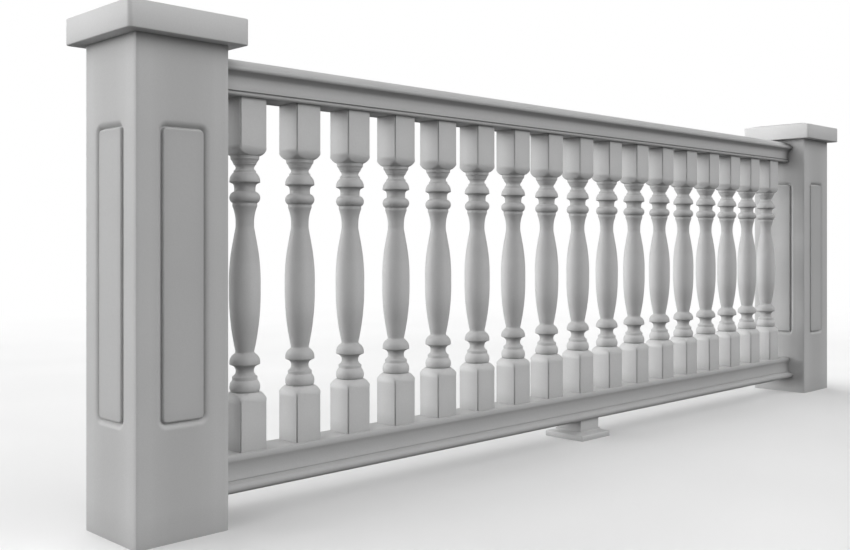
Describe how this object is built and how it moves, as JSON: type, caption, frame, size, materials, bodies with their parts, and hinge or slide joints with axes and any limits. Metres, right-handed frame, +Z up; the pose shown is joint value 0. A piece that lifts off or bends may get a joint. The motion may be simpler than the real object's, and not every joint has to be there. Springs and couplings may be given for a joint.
{
  "type": "polyurethane balustrade bay",
  "caption": "Moulded balustrade bay: turned balusters with square blocks between a domed top rail and a beaded bottom rail, carried by panelled square newels with flat caps.",
  "frame": {"origin": "on the ground at the middle of the bay, midway between the newels and on the centre line of the rails", "axes": "+X along the rails from the left newel to the right one as the front is seen, +Y from the front to the back, +Z up"},
  "size_m": [2.881, 0.249, 0.977],
  "materials": {
    "newel": "matt off-white moulded skin, very fine grain",
    "cap": "matt off-white moulded skin, very fine grain",
    "rail": "matt off-white moulded skin, very fine grain",
    "baluster": "matt off-white moulded skin with a fine speckle",
    "foot": "matt off-white moulded skin, very fine grain"
  },
  "bodies": {
    "root": {"newel_left": "newel", "newel_right": "newel", "newel_cap_left": "cap", "newel_cap_right": "cap", "top_rail": "rail", "bottom_rail": "rail", "baluster_01": "baluster", "baluster_02": "baluster", "baluster_03": "baluster", "baluster_04": "baluster", "baluster_05": "baluster", "baluster_06": "baluster", "baluster_07": "baluster", "baluster_08": "baluster", "baluster_09": "baluster", "baluster_10": "baluster", "baluster_11": "baluster", "baluster_12": "baluster", "baluster_13": "baluster", "baluster_14": "baluster", "baluster_15": "baluster", "baluster_16": "baluster", "baluster_17": "baluster", "foot_block": "foot"}
  },
  "joints": []
}
